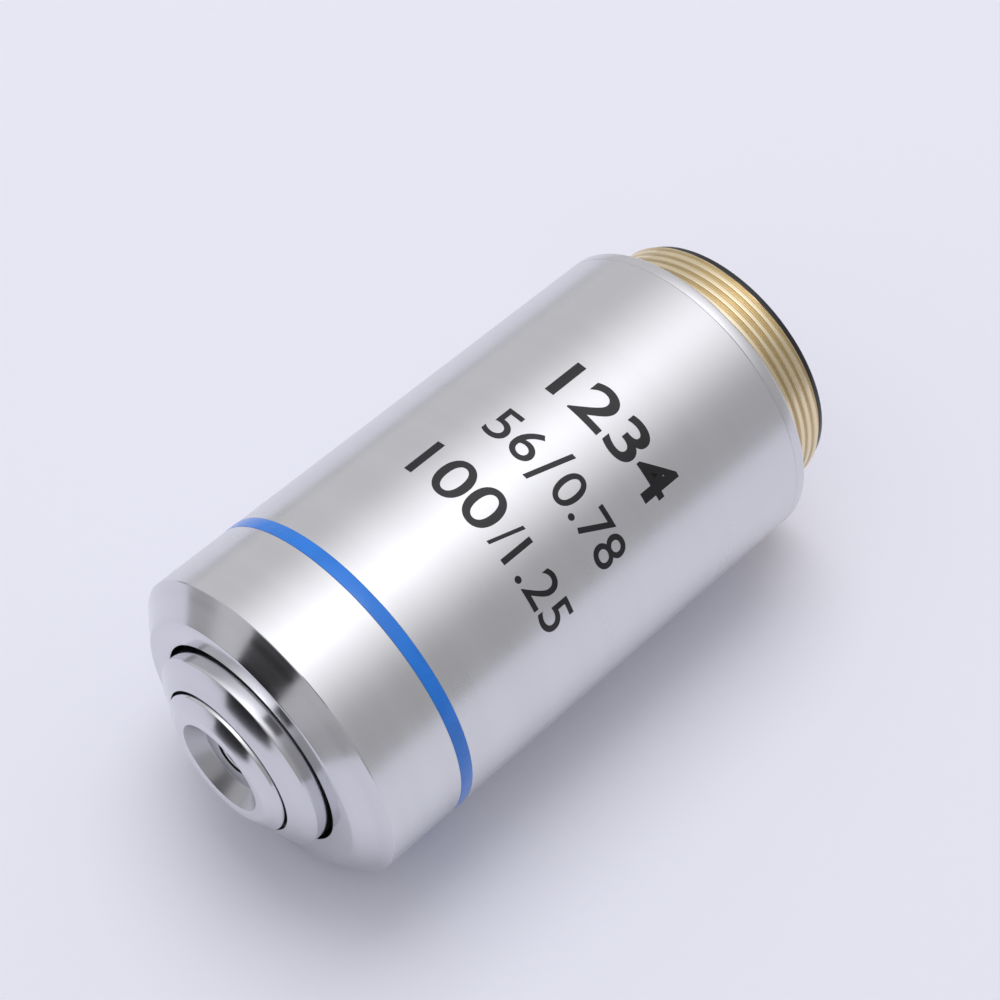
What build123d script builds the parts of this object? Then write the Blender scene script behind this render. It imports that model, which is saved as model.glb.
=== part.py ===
from build123d import *
import os
from math import atan2, copysign, cos, sin, sqrt

# Infinity-corrected plan achromatic microscope objective, in millimetres.
# The origin is the centre of the locating shoulder and +Z is the optical axis towards the specimen.
# The objective stands on its thread end. Outlines are given as (radius, height) and turned about Z.

# Fits and small edges
assembly_fit = 0.03        # radial gap of rings and cells in their bores
thread_fit = 0.05          # radial gap of screwed joints
running_fit = 0.06         # radial gap of the sliding lens tube in its guides
glass_fit = 0.02           # gap between a lens and its seat
cement_gap = 0.02          # cement between the elements of a doublet
edge_break = 0.08          # small bevel on the turned edges that show

# Mounting thread, locating flange and end ring
thread_radius = 10.1       # society thread, 20.2 mm across its crests
thread_length = 3.95
thread_lead_in = 0.1
flange_thickness = 0.9
flange_bevel = 0.2
end_ring_step = 0.3        # how far the end ring stands inside the thread
end_ring_thickness = 0.57
end_ring_spigot = 2.2
end_ring_wall = 1.27
thread_wall = 1.8
notch_width = 1.0          # spanner notches of every ring
notch_depth = 0.35
notch_land = 1.2           # rim left outside the notches of the end ring

# Sliding lens tube, and the guide bore and walls that lie round it
nose_radius = 7.6          # outside of the nose and of the lens tube
tube_wall = 1.3
spring_inner_gap = 0.6
spring_wire = 0.6
spring_outer_gap = 0.5
body_wall = 1.5
body_relief = 0.4
sleeve_wall = 1.15

# Barrel, colour ring and front cap
sleeve_length = 32.2
rear_land = 5.0            # screwed lands of the body under the sleeve
front_land = 6.1
cap_engagement = 2.3
ring_width = 1.0
ring_depth = 0.4
ring_crown = 0.03
cap_barrel_length = 6.05
front_cone_length = 1.65
front_cone_drop = 2.12
front_wall = 2.0
cap_bore_step = 0.3
nose_gap = 0.35            # dark gap round the nose

# Nose and front cell
nose_standout = 1.0
nose_cone_length = 0.88
nose_cone_drop = 1.92
nose_neck = 1.48
skirt_length = 4.2
skirt_wall = 0.6
cell_gap = 0.18            # dark groove round the front cell
cell_standout = 0.22
cell_cone_length = 0.55
cell_cone_drop = 1.15
cell_rim_width = 0.83
recess_depth = 1.13
recess_floor_radius = 2.67
cell_flange = 1.2
cell_cavity_radius = 3.4
cell_cavity_depth = 1.3
front_lens_sphere = 1.6    # the front lens is more than half a ball
front_lens_cut = 0.86      # height of its flat face over the ball's centre
front_lens_setback = 0.1

# Motion of the lens unit
travel = 2.4               # how far the nose can be pushed in
stop_setback = 1.1         # rear face of the parfocal ring, behind the sleeve's end
guide_engagement = 2.1
parfocal_ring_length = 1.8
lock_ring_length = 1.2
seat_height = 4.0          # inner shoulder of the body
seat_ring_length = 5.0
overtravel = 0.2           # left between the pushed-in tube and the inner shoulder
spring_turns = 8
spring_end_gap = 0.05
screw_radius = 0.8
screw_tip_radius = 0.5
screw_tip_depth = 0.85
screw_sink = 0.2
screw_slot_width = 0.3
screw_slot_depth = 0.4
slot_side_gap = 0.15
slot_floor_gap = 0.25

# Optics, from the front of the stack to its rear; a depth is how far a surface bulges or
# hollows between its middle and the edge of the lens
tube_lip = 1.5
tube_lip_width = 1.7
seat_lip = 0.5             # radial width of the lip on which a lens rests
crown_edge = 0.8           # edge of a bulging crown element
flint_middle = 1.3         # middle of a hollow flint element
glass_clearance = 0.35     # left behind the glass in its cell
meniscus_cell_wall = 2.67
meniscus_middle = 2.0
meniscus_hollow = 1.2
meniscus_bulge = 1.45
meniscus_lip = 0.5
front_cell_wall = 1.45
front_crown_depth = 1.11
front_joint_depth = 1.4
front_flint_depth = 0.47
front_cell_lip = 1.3
front_spacer_length = 2.0
middle_cell_wall = 1.25
middle_flint_depth = 0.81
middle_joint_depth = 1.64
middle_crown_depth = 0.93
middle_cell_lip = 0.8
stop_thickness = 0.4
stop_wall = 2.07
spacer_wall = 0.8
rear_cell_wall = 1.25
rear_flint_depth = 1.35
rear_joint_depth = 1.1
rear_crown_depth = 1.53
rear_cell_lip = 0.8
retaining_setback = 0.6
retaining_length = 1.5
retaining_wall = 1.4

# Radii worked out from the lens tube outwards
spring_radius = nose_radius + spring_inner_gap + spring_wire / 2
guide_bore = spring_radius + spring_wire / 2 + spring_outer_gap
guided_radius = guide_bore - running_fit
ring_radius = guide_bore - assembly_fit
body_radius = guide_bore + body_wall
sleeve_bore = body_radius + thread_fit
barrel_radius = sleeve_bore + sleeve_wall
rear_bore = thread_radius - thread_wall
nose_hole = nose_radius + nose_gap
groove_radius = barrel_radius - ring_depth
front_face_radius = barrel_radius - front_cone_drop
cap_bore = guide_bore + cap_bore_step
end_ring_radius = thread_radius - end_ring_step
spigot_radius = rear_bore - assembly_fit
light_bore = spigot_radius - end_ring_wall

# Radii worked out from the lens tube inwards
tube_bore = nose_radius - tube_wall
tube_lip_radius = tube_bore - tube_lip_width
stack_radius = tube_bore - assembly_fit
nose_bore = nose_radius - skirt_wall
tube_spigot = nose_bore - thread_fit
nose_mouth_radius = nose_radius - nose_cone_drop
cell_radius = nose_mouth_radius - cell_gap
cell_rim_radius = cell_radius - cell_cone_drop
recess_radius = cell_rim_radius - cell_rim_width
spacer_bore = stack_radius - spacer_wall
retaining_bore = stack_radius - retaining_wall
stop_opening = stack_radius - stop_wall
meniscus_radius = stack_radius - meniscus_cell_wall
front_doublet_radius = stack_radius - front_cell_wall
middle_doublet_radius = stack_radius - middle_cell_wall
rear_doublet_radius = stack_radius - rear_cell_wall

# Heights of the barrel, from the shoulder to the front face
thread_end = -thread_length
standing_face = thread_end - end_ring_thickness
sleeve_end = flange_thickness + sleeve_length
ring_end = sleeve_end + ring_width
body_end = sleeve_end + cap_engagement
cone_start = ring_end + cap_barrel_length
front_face = cone_start + front_cone_length
cap_inside = front_face - front_wall
cap_clearance = body_end + nose_gap

# Heights of the nose, from the front face to the rim, then back down into the lens tube
nose_edge = front_face + nose_standout
nose_mouth = nose_edge + nose_cone_length
cell_edge = nose_mouth + cell_standout
cell_rim = cell_edge + cell_cone_length
recess_floor = cell_rim - recess_depth
lens_face = recess_floor - front_lens_setback
lens_centre = lens_face - front_lens_cut
cell_shoulder = nose_mouth - nose_neck
tube_end = cell_shoulder - cell_flange
skirt_end = cell_shoulder - skirt_length
stack_front = tube_end - tube_lip

# Heights of the sliding parts
stop_height = sleeve_end - stop_setback
guide_length = travel + guide_engagement
flange_rear = stop_height - guide_length
tube_start = seat_height + overtravel + travel
lock_height = stop_height + parfocal_ring_length
seat_ring_end = seat_height + seat_ring_length
screw_height = flange_rear + guide_engagement / 2
screw_tip = guided_radius - screw_tip_depth


def fall(depth, edge_radius, radius):
    """How far a spherical surface has fallen at a radius, from its depth at the lens's edge."""
    curve = (edge_radius**2 + depth**2) / (2 * abs(depth))
    return copysign(curve - sqrt(curve**2 - radius**2), depth)


def vertex_rise(edge_radius, depth):
    """Height of a lens's front vertex over the seat on which it rests."""
    contact = edge_radius - seat_lip if depth > 0 else edge_radius
    return fall(depth, edge_radius, contact) - glass_fit


# Middle thicknesses of the crown elements
front_crown_middle = crown_edge + front_crown_depth + front_joint_depth
middle_crown_middle = crown_edge + middle_joint_depth + middle_crown_depth
rear_crown_middle = crown_edge + rear_joint_depth + rear_crown_depth

# Heights of the front vertices over their seats
meniscus_rise = vertex_rise(meniscus_radius, -meniscus_hollow)
front_rise = vertex_rise(front_doublet_radius, front_crown_depth)
middle_rise = vertex_rise(middle_doublet_radius, middle_flint_depth)
rear_rise = vertex_rise(rear_doublet_radius, -rear_flint_depth)

# Heights of the optical stack, from the front shoulder of the tube down
meniscus_vertex = stack_front - meniscus_lip + meniscus_rise
meniscus_rear = meniscus_vertex - meniscus_middle - glass_clearance
front_vertex = meniscus_rear - front_cell_lip + front_rise
front_joint = front_vertex - front_crown_middle - cement_gap
front_cell_rear = front_joint - flint_middle - glass_clearance
front_spacer_rear = front_cell_rear - front_spacer_length
middle_vertex = front_spacer_rear - middle_cell_lip + middle_rise
middle_joint = middle_vertex - flint_middle - cement_gap
middle_cell_rear = middle_joint - middle_crown_middle - glass_clearance
stop_rear = middle_cell_rear - stop_thickness

# Heights of the rear doublet, whose edge stands clear of the retaining ring
retaining_start = tube_start + retaining_setback
retaining_end = retaining_start + retaining_length
rear_joint = retaining_end + glass_clearance - rear_crown_depth + rear_crown_middle
rear_vertex = rear_joint + cement_gap + flint_middle
rear_cell_front = rear_vertex - rear_rise + rear_cell_lip


def lens_element(vertex, thickness, radius, front_depth, rear_depth):
    """A lens from its front vertex; a depth is positive where that surface bulges outwards."""
    rear_vertex = vertex - thickness
    half = radius / 2
    with BuildPart() as element:
        with BuildSketch(Plane.XZ):
            with BuildLine():
                front = ThreePointArc(
                    (0, vertex),
                    (half, vertex - fall(front_depth, radius, half)),
                    (radius, vertex - front_depth),
                )
                rear = ThreePointArc(
                    (radius, rear_vertex + rear_depth),
                    (half, rear_vertex + fall(rear_depth, radius, half)),
                    (0, rear_vertex),
                )
                Line(front @ 1, rear @ 0)
                Line(rear @ 1, front @ 0)
            make_face()
        revolve(axis=Axis.Z)
    return element.part


def lens_cell(front, rear, lip, lens_radius):
    """A turned cup whose lip holds the front of a lens."""
    opening = lens_radius - seat_lip
    seat = front - lip
    with BuildPart() as cell:
        with BuildSketch(Plane.XZ):
            with BuildLine():
                Polyline(
                    (opening, front),
                    (stack_radius, front),
                    (stack_radius, rear),
                    (lens_radius + glass_fit, rear),
                    (lens_radius + glass_fit, seat),
                    (opening, seat),
                    close=True,
                )
            make_face()
        revolve(axis=Axis.Z)
        cell_edges = cell.edges().filter_by(GeomType.CIRCLE).group_by(SortBy.RADIUS)[-1]
        chamfer(cell_edges, edge_break)
    return cell.part


def plain_ring(rear, front, inner, outer):
    """A plain turned ring."""
    with BuildPart() as ring:
        with BuildSketch(Plane.XY.offset(rear)):
            Circle(outer)
            Circle(inner, mode=Mode.SUBTRACT)
        extrude(amount=front - rear)
    return ring.part


# Brass body with the mounting thread, locating flange and guide bore
with BuildPart() as mount_body:
    with BuildSketch(Plane.XZ):
        with BuildLine():
            Polyline(
                (rear_bore, thread_end),
                (thread_radius - thread_lead_in, thread_end),
                (thread_radius, thread_end + thread_lead_in),
                (thread_radius, 0),
                (barrel_radius - flange_bevel, 0),
                (barrel_radius, flange_bevel),
                (barrel_radius, flange_thickness),
                (body_radius, flange_thickness),
                (body_radius, flange_thickness + rear_land),
                (body_radius - body_relief, flange_thickness + rear_land + body_relief),
                (body_radius - body_relief, sleeve_end - front_land - body_relief),
                (body_radius, sleeve_end - front_land),
                (body_radius, body_end),
                (guide_bore, body_end),
                (guide_bore, seat_height),
                (rear_bore, seat_height),
                close=True,
            )
        make_face()
    revolve(axis=Axis.Z)
    with BuildSketch(Plane(origin=(0, 0, screw_height), x_dir=(0, 1, 0), z_dir=(1, 0, 0))):
        Circle(screw_radius + assembly_fit)
    extrude(amount=barrel_radius, mode=Mode.SUBTRACT)

# Black ring in the thread end, with two spanner notches
with BuildPart() as end_ring:
    with BuildSketch(Plane.XZ):
        with BuildLine():
            Polyline(
                (light_bore, standing_face),
                (end_ring_radius, standing_face),
                (end_ring_radius, thread_end),
                (spigot_radius, thread_end),
                (spigot_radius, thread_end + end_ring_spigot),
                (light_bore, thread_end + end_ring_spigot),
                close=True,
            )
        make_face()
    revolve(axis=Axis.Z)
    ring_edges = end_ring.edges().filter_by(GeomType.CIRCLE).group_by(SortBy.RADIUS)[-1]
    chamfer(ring_edges.sort_by(Axis.Z)[0], edge_break)
    with BuildSketch(Plane.XY.offset(standing_face)):
        Rectangle(2 * (end_ring_radius - notch_land), notch_width)
    extrude(amount=notch_depth, mode=Mode.SUBTRACT)

# Satin chromed barrel, held between the flange and the front cap
with BuildPart() as barrel_sleeve:
    with BuildSketch(Plane.XY.offset(flange_thickness)):
        Circle(barrel_radius)
        Circle(sleeve_bore, mode=Mode.SUBTRACT)
    extrude(amount=sleeve_length)
    sleeve_edges = barrel_sleeve.edges().filter_by(GeomType.CIRCLE).group_by(SortBy.RADIUS)[-1]
    chamfer(sleeve_edges, edge_break / 2)

# Blue ring in the groove behind the front cap
with BuildPart() as colour_ring:
    with BuildSketch(Plane.XZ):
        with BuildLine():
            crown = ThreePointArc(
                (barrel_radius, sleeve_end),
                (barrel_radius + ring_crown, sleeve_end + ring_width / 2),
                (barrel_radius, ring_end),
            )
            Polyline(
                crown @ 1,
                (groove_radius + glass_fit, ring_end),
                (groove_radius + glass_fit, sleeve_end),
                crown @ 0,
            )
        make_face()
    revolve(axis=Axis.Z)

# Front cap with the polished cone and the hole for the nose
with BuildPart() as front_cap:
    with BuildSketch(Plane.XZ):
        with BuildLine():
            Polyline(
                (sleeve_bore, sleeve_end),
                (groove_radius, sleeve_end),
                (groove_radius, ring_end),
                (barrel_radius, ring_end),
                (barrel_radius, cone_start),
                (front_face_radius, front_face),
                (nose_hole, front_face),
                (nose_hole, cap_inside),
                (cap_bore, cap_inside),
                (cap_bore, cap_clearance),
                (sleeve_bore, cap_clearance),
                close=True,
            )
        make_face()
    revolve(axis=Axis.Z)
    cap_edges = front_cap.edges().filter_by(GeomType.CIRCLE).group_by(SortBy.RADIUS)[-1]
    chamfer(cap_edges, edge_break / 2)

# Rear guide of the lens tube, on which the spring stands
with BuildPart() as spring_seat_ring:
    with BuildSketch(Plane.XY.offset(seat_height)):
        Circle(ring_radius)
        Circle(nose_radius + running_fit, mode=Mode.SUBTRACT)
    extrude(amount=seat_ring_length)

# Coil spring between the seat ring and the flange of the lens tube
with BuildPart() as return_spring:
    coil_start = seat_ring_end + spring_wire / 2 + spring_end_gap
    coil_end = flange_rear - spring_wire / 2 - spring_end_gap
    with BuildLine() as coil:
        Helix(
            pitch=(coil_end - coil_start) / spring_turns,
            height=coil_end - coil_start,
            radius=spring_radius,
            center=(0, 0, coil_start),
        )
    with BuildSketch(Plane(origin=coil.line @ 0, z_dir=coil.line % 0)):
        Circle(spring_wire / 2)
    sweep(is_frenet=True)

# Threaded stop against which the lens unit rests, with spanner notches
with BuildPart() as parfocal_ring:
    with BuildSketch(Plane.XY.offset(stop_height)):
        Circle(ring_radius)
        Circle(nose_hole, mode=Mode.SUBTRACT)
    extrude(amount=parfocal_ring_length)
    with BuildSketch(Plane.XY.offset(lock_height - notch_depth)):
        Rectangle(2 * ring_radius, notch_width)
    extrude(amount=notch_depth, mode=Mode.SUBTRACT)

# Ring that locks the parfocal ring
with BuildPart() as parfocal_lock_ring:
    with BuildSketch(Plane.XY.offset(lock_height)):
        Circle(ring_radius)
        Circle(nose_hole, mode=Mode.SUBTRACT)
    extrude(amount=lock_ring_length)
    with BuildSketch(Plane.XY.offset(lock_height + lock_ring_length - notch_depth)):
        Rectangle(2 * ring_radius, notch_width)
    extrude(amount=notch_depth, mode=Mode.SUBTRACT)

# Slotted screw whose tip keeps the lens tube from turning
with BuildPart() as guide_screw:
    screw_plane = Plane(origin=(screw_tip, 0, screw_height), x_dir=(0, 1, 0), z_dir=(1, 0, 0))
    screw_top = body_radius - screw_sink - screw_tip
    with BuildSketch(screw_plane):
        Circle(screw_tip_radius)
    extrude(amount=screw_top)
    with BuildSketch(screw_plane.offset(guide_bore - screw_tip)):
        Circle(screw_radius)
    extrude(amount=screw_top - (guide_bore - screw_tip))
    with BuildSketch(screw_plane.offset(screw_top - screw_slot_depth)):
        Rectangle(2 * screw_radius, screw_slot_width)
    extrude(amount=screw_slot_depth, mode=Mode.SUBTRACT)

# Sliding tube that carries the lens cells
with BuildPart() as lens_tube:
    with BuildSketch(Plane.XZ):
        with BuildLine():
            Polyline(
                (tube_bore, tube_start),
                (nose_radius, tube_start),
                (nose_radius, flange_rear),
                (guided_radius, flange_rear),
                (guided_radius, stop_height),
                (nose_radius, stop_height),
                (nose_radius, skirt_end),
                (tube_spigot, skirt_end),
                (tube_spigot, tube_end),
                (tube_lip_radius, tube_end),
                (tube_lip_radius, stack_front),
                (tube_bore, stack_front),
                close=True,
            )
        make_face()
    revolve(axis=Axis.Z)
    slot_floor = screw_tip - slot_floor_gap
    slot_middle = (flange_rear + stop_height) / 2
    with BuildSketch(Plane(origin=(slot_floor, 0, slot_middle), x_dir=(0, 1, 0), z_dir=(1, 0, 0))):
        Rectangle(2 * (screw_tip_radius + slot_side_gap), guide_length)
    extrude(amount=guided_radius - slot_floor, mode=Mode.SUBTRACT)

# Polished nose that clamps the front cell on the lens tube
with BuildPart() as nose_cap:
    with BuildSketch(Plane.XZ):
        with BuildLine():
            Polyline(
                (nose_bore, skirt_end),
                (nose_radius, skirt_end),
                (nose_radius, nose_edge),
                (nose_mouth_radius, nose_mouth),
                (nose_mouth_radius, cell_shoulder),
                (nose_bore, cell_shoulder),
                close=True,
            )
        make_face()
    revolve(axis=Axis.Z)
    nose_edges = nose_cap.edges().filter_by(GeomType.CIRCLE).group_by(SortBy.RADIUS)[-1]
    chamfer(nose_edges.sort_by(Axis.Z)[-1], edge_break / 2)

# Front cell with its dished recess and the ball seat of the front lens
seat_sphere = front_lens_sphere + glass_fit
lens_opening = sqrt(front_lens_sphere**2 - front_lens_cut**2)
lip_opening = lens_opening + glass_fit
lip_rise = sqrt(seat_sphere**2 - lip_opening**2)
half_angle = atan2(lip_rise, lip_opening) / 2
with BuildPart() as front_cell:
    with BuildSketch(Plane.XZ):
        with BuildLine():
            seat_arc = ThreePointArc(
                (lip_opening, lens_centre + lip_rise),
                (seat_sphere * cos(half_angle), lens_centre + seat_sphere * sin(half_angle)),
                (seat_sphere, lens_centre),
            )
            Polyline(
                seat_arc @ 1,
                (seat_sphere, tube_end + cell_cavity_depth),
                (cell_cavity_radius, tube_end),
                (tube_spigot, tube_end),
                (tube_spigot, cell_shoulder),
                (cell_radius, cell_shoulder),
                (cell_radius, cell_edge),
                (cell_rim_radius, cell_rim),
                (recess_radius, cell_rim),
                (recess_floor_radius, recess_floor),
                (lip_opening, recess_floor),
                seat_arc @ 0,
            )
        make_face()
    revolve(axis=Axis.Z)

# Front lens, more than half a ball with its flat face outwards
with BuildPart() as front_lens:
    with BuildSketch(Plane.XZ):
        with BuildLine():
            ball = ThreePointArc(
                (lens_opening, lens_face),
                (front_lens_sphere, lens_centre),
                (0, lens_centre - front_lens_sphere),
            )
            Polyline(ball @ 1, (0, lens_face), ball @ 0)
        make_face()
    revolve(axis=Axis.Z)

# Meniscus behind the front lens, hollow towards it
meniscus_cell = lens_cell(stack_front, meniscus_rear, meniscus_lip, meniscus_radius)
meniscus_lens = lens_element(
    meniscus_vertex, meniscus_middle, meniscus_radius, -meniscus_hollow, meniscus_bulge
)

# Front doublet, crown element first
front_doublet_cell = lens_cell(meniscus_rear, front_cell_rear, front_cell_lip, front_doublet_radius)
front_doublet_crown = lens_element(
    front_vertex, front_crown_middle, front_doublet_radius, front_crown_depth, front_joint_depth
)
front_doublet_flint = lens_element(
    front_joint, flint_middle, front_doublet_radius, -front_joint_depth, front_flint_depth
)
front_spacer = plain_ring(front_spacer_rear, front_cell_rear, spacer_bore, stack_radius)

# Middle doublet, flint element first, with the aperture stop behind it
middle_doublet_cell = lens_cell(
    front_spacer_rear, middle_cell_rear, middle_cell_lip, middle_doublet_radius
)
middle_doublet_flint = lens_element(
    middle_vertex, flint_middle, middle_doublet_radius, middle_flint_depth, -middle_joint_depth
)
middle_doublet_crown = lens_element(
    middle_joint, middle_crown_middle, middle_doublet_radius, middle_joint_depth, middle_crown_depth
)
aperture_stop = plain_ring(stop_rear, middle_cell_rear, stop_opening, stack_radius)

# Rear doublet, hollow towards the front, and the long spacer before it
rear_spacer = plain_ring(rear_cell_front, stop_rear, spacer_bore, stack_radius)
rear_doublet_cell = lens_cell(rear_cell_front, retaining_end, rear_cell_lip, rear_doublet_radius)
rear_doublet_flint = lens_element(
    rear_vertex, flint_middle, rear_doublet_radius, -rear_flint_depth, -rear_joint_depth
)
rear_doublet_crown = lens_element(
    rear_joint, rear_crown_middle, rear_doublet_radius, rear_joint_depth, rear_crown_depth
)

# Threaded ring that holds the stack in the tube, with a spanner slot across its rear face
with BuildPart() as retaining_ring:
    with BuildSketch(Plane.XY.offset(retaining_start)):
        Circle(stack_radius)
        Circle(retaining_bore, mode=Mode.SUBTRACT)
    extrude(amount=retaining_length)
    with BuildSketch(Plane.XY.offset(retaining_start)):
        Rectangle(2 * stack_radius, notch_width)
    extrude(amount=notch_depth, mode=Mode.SUBTRACT)

pieces = {
    "mount_body": mount_body.part,
    "end_ring": end_ring.part,
    "barrel_sleeve": barrel_sleeve.part,
    "colour_ring": colour_ring.part,
    "front_cap": front_cap.part,
    "spring_seat_ring": spring_seat_ring.part,
    "return_spring": return_spring.part,
    "parfocal_ring": parfocal_ring.part,
    "parfocal_lock_ring": parfocal_lock_ring.part,
    "guide_screw": guide_screw.part,
    "lens_tube": lens_tube.part,
    "nose_cap": nose_cap.part,
    "front_cell": front_cell.part,
    "front_lens": front_lens.part,
    "meniscus_cell": meniscus_cell,
    "meniscus_lens": meniscus_lens,
    "front_doublet_cell": front_doublet_cell,
    "front_doublet_crown": front_doublet_crown,
    "front_doublet_flint": front_doublet_flint,
    "front_spacer": front_spacer,
    "middle_doublet_cell": middle_doublet_cell,
    "middle_doublet_flint": middle_doublet_flint,
    "middle_doublet_crown": middle_doublet_crown,
    "aperture_stop": aperture_stop,
    "rear_spacer": rear_spacer,
    "rear_doublet_cell": rear_doublet_cell,
    "rear_doublet_flint": rear_doublet_flint,
    "rear_doublet_crown": rear_doublet_crown,
    "retaining_ring": retaining_ring.part,
}

os.makedirs("parts", exist_ok=True)
for label, piece in pieces.items():
    piece.label = label
    export_step(piece, f"parts/{label}.step")
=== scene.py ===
import math

import bmesh
import bpy
from mathutils import Matrix, Vector


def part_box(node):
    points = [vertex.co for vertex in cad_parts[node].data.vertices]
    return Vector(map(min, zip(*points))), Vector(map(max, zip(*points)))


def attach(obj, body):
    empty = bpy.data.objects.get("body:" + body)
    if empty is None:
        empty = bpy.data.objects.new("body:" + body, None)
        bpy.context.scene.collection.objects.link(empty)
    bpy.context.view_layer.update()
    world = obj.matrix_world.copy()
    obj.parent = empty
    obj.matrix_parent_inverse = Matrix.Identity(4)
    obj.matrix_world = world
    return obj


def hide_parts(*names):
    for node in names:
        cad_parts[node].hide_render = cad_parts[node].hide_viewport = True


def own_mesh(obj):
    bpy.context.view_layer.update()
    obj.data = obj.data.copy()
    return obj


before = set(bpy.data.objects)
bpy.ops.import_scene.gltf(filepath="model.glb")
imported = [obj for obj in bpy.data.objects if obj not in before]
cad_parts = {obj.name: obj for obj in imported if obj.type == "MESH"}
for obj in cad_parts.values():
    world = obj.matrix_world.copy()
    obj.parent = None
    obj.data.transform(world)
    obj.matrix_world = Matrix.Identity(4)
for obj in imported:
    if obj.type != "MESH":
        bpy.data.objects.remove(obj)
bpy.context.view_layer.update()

bl_info = {
    "name": "Microscope objective",
    "version": (1, 0, 0),
    "blender": (4, 5, 0),
    "location": "3D View > Sidebar > Objective",
    "description": "Models and finishes the pieces of a plan achromatic microscope objective",
    "category": "Object",
}

MM = 0.001
TURN_STEPS = 256           # faces round a turned piece
LENS_STEPS = 128           # faces round a lens
ARC_POINTS = 14            # points along a curved lens surface
CROWN_POINTS = 17          # points across the crowned blue ring
THREAD_ROW = 0.03          # height of a row of faces along the thread, in millimetres
SCREW_GAP = 0.03           # round the guide screw in its hole, in millimetres
DIGIT_STRIP = 0.2          # width of the strips that bend round the barrel, in millimetres
INK_SUNK = 0.004           # how far the ink reaches into the barrel, in millimetres
SHEET_GAP = 0.02            # between the blue ring and the sheet, in millimetres
MERGE = 1e-6
SMOOTH_ANGLE = math.radians(32)


# Sizes that the frame gives, in millimetres

def heights(name):
    """Lowest and highest point of a CAD node."""
    low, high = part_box(name)
    return low.z / MM, high.z / MM


def outer(name):
    """Largest radius of a CAD node."""
    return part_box(name)[1].x / MM


def corners_of(name):
    """Every corner of a CAD node as (radius, height)."""
    return [
        (math.hypot(vert.co.x, vert.co.y) / MM, vert.co.z / MM)
        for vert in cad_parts[name].data.vertices
    ]


def radii(name, height):
    """Radii of a CAD node's corners at a height, smallest first."""
    return sorted({round(radius, 2) for radius, place in corners_of(name) if abs(place - height) < 0.01})


class ObjectiveSizes(bpy.types.PropertyGroup):
    """Small shapes of the turned pieces."""

    edge_round: bpy.props.FloatProperty(
        name="Edge rounding",
        description="Rounding of the turned edges that a hand touches",
        default=0.05 * MM, min=0.0, precision=5, unit="LENGTH",
    )
    cone_round: bpy.props.FloatProperty(
        name="Cone rounding",
        description="Rounding of the edges of the polished cones",
        default=0.08 * MM, min=0.0, precision=5, unit="LENGTH",
    )
    seam_round: bpy.props.FloatProperty(
        name="Seam rounding",
        description="Rounding of edges that meet in a hairline seam",
        default=0.055 * MM, min=0.0, precision=5, unit="LENGTH",
    )
    thread_pitch: bpy.props.FloatProperty(
        name="Thread pitch",
        description="Rise of the mounting thread in one turn",
        default=0.7056 * MM, min=0.1 * MM, precision=5, unit="LENGTH",
    )
    thread_depth: bpy.props.FloatProperty(
        name="Thread depth",
        description="From the crests of the mounting thread to its roots",
        default=0.24 * MM, min=0.0, precision=5, unit="LENGTH",
    )
    thread_crest: bpy.props.FloatProperty(
        name="Thread crest",
        description="Share of the pitch that the flat crests take",
        default=0.38, min=0.0, max=0.9, subtype="FACTOR",
    )
    thread_root: bpy.props.FloatProperty(
        name="Thread root",
        description="Share of the pitch that the narrow roots take",
        default=0.1, min=0.0, max=0.9, subtype="FACTOR",
    )
    thread_relief: bpy.props.FloatProperty(
        name="Thread relief",
        description="Width of the plain groove between the thread and the shoulder",
        default=0.5 * MM, min=0.0, precision=5, unit="LENGTH",
    )
    notch_width: bpy.props.FloatProperty(
        name="Notch width",
        description="Width of the spanner notches",
        default=1.0 * MM, min=0.0, precision=5, unit="LENGTH",
    )
    notch_depth: bpy.props.FloatProperty(
        name="Notch depth",
        description="Depth of the spanner notches",
        default=0.35 * MM, min=0.0, precision=5, unit="LENGTH",
    )
    notch_land: bpy.props.FloatProperty(
        name="Notch land",
        description="Rim left outside the notches of the end ring",
        default=1.2 * MM, min=0.0, precision=5, unit="LENGTH",
    )


class ObjectiveNumbers(bpy.types.PropertyGroup):
    """Plain numbers on the barrel."""

    first_line: bpy.props.StringProperty(
        name="First line", description="Bold digits nearest the thread", default="1234",
    )
    second_line: bpy.props.StringProperty(
        name="Second line", description="Two numbers with a slash between them", default="56/0.78",
    )
    third_line: bpy.props.StringProperty(
        name="Third line", description="A large number, a slash and a smaller number", default="100/1.25",
    )
    ink_thickness: bpy.props.FloatProperty(
        name="Ink thickness",
        description="How far the filled digits stand over the barrel",
        default=0.012 * MM, min=0.0, precision=6, unit="LENGTH",
    )


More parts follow.
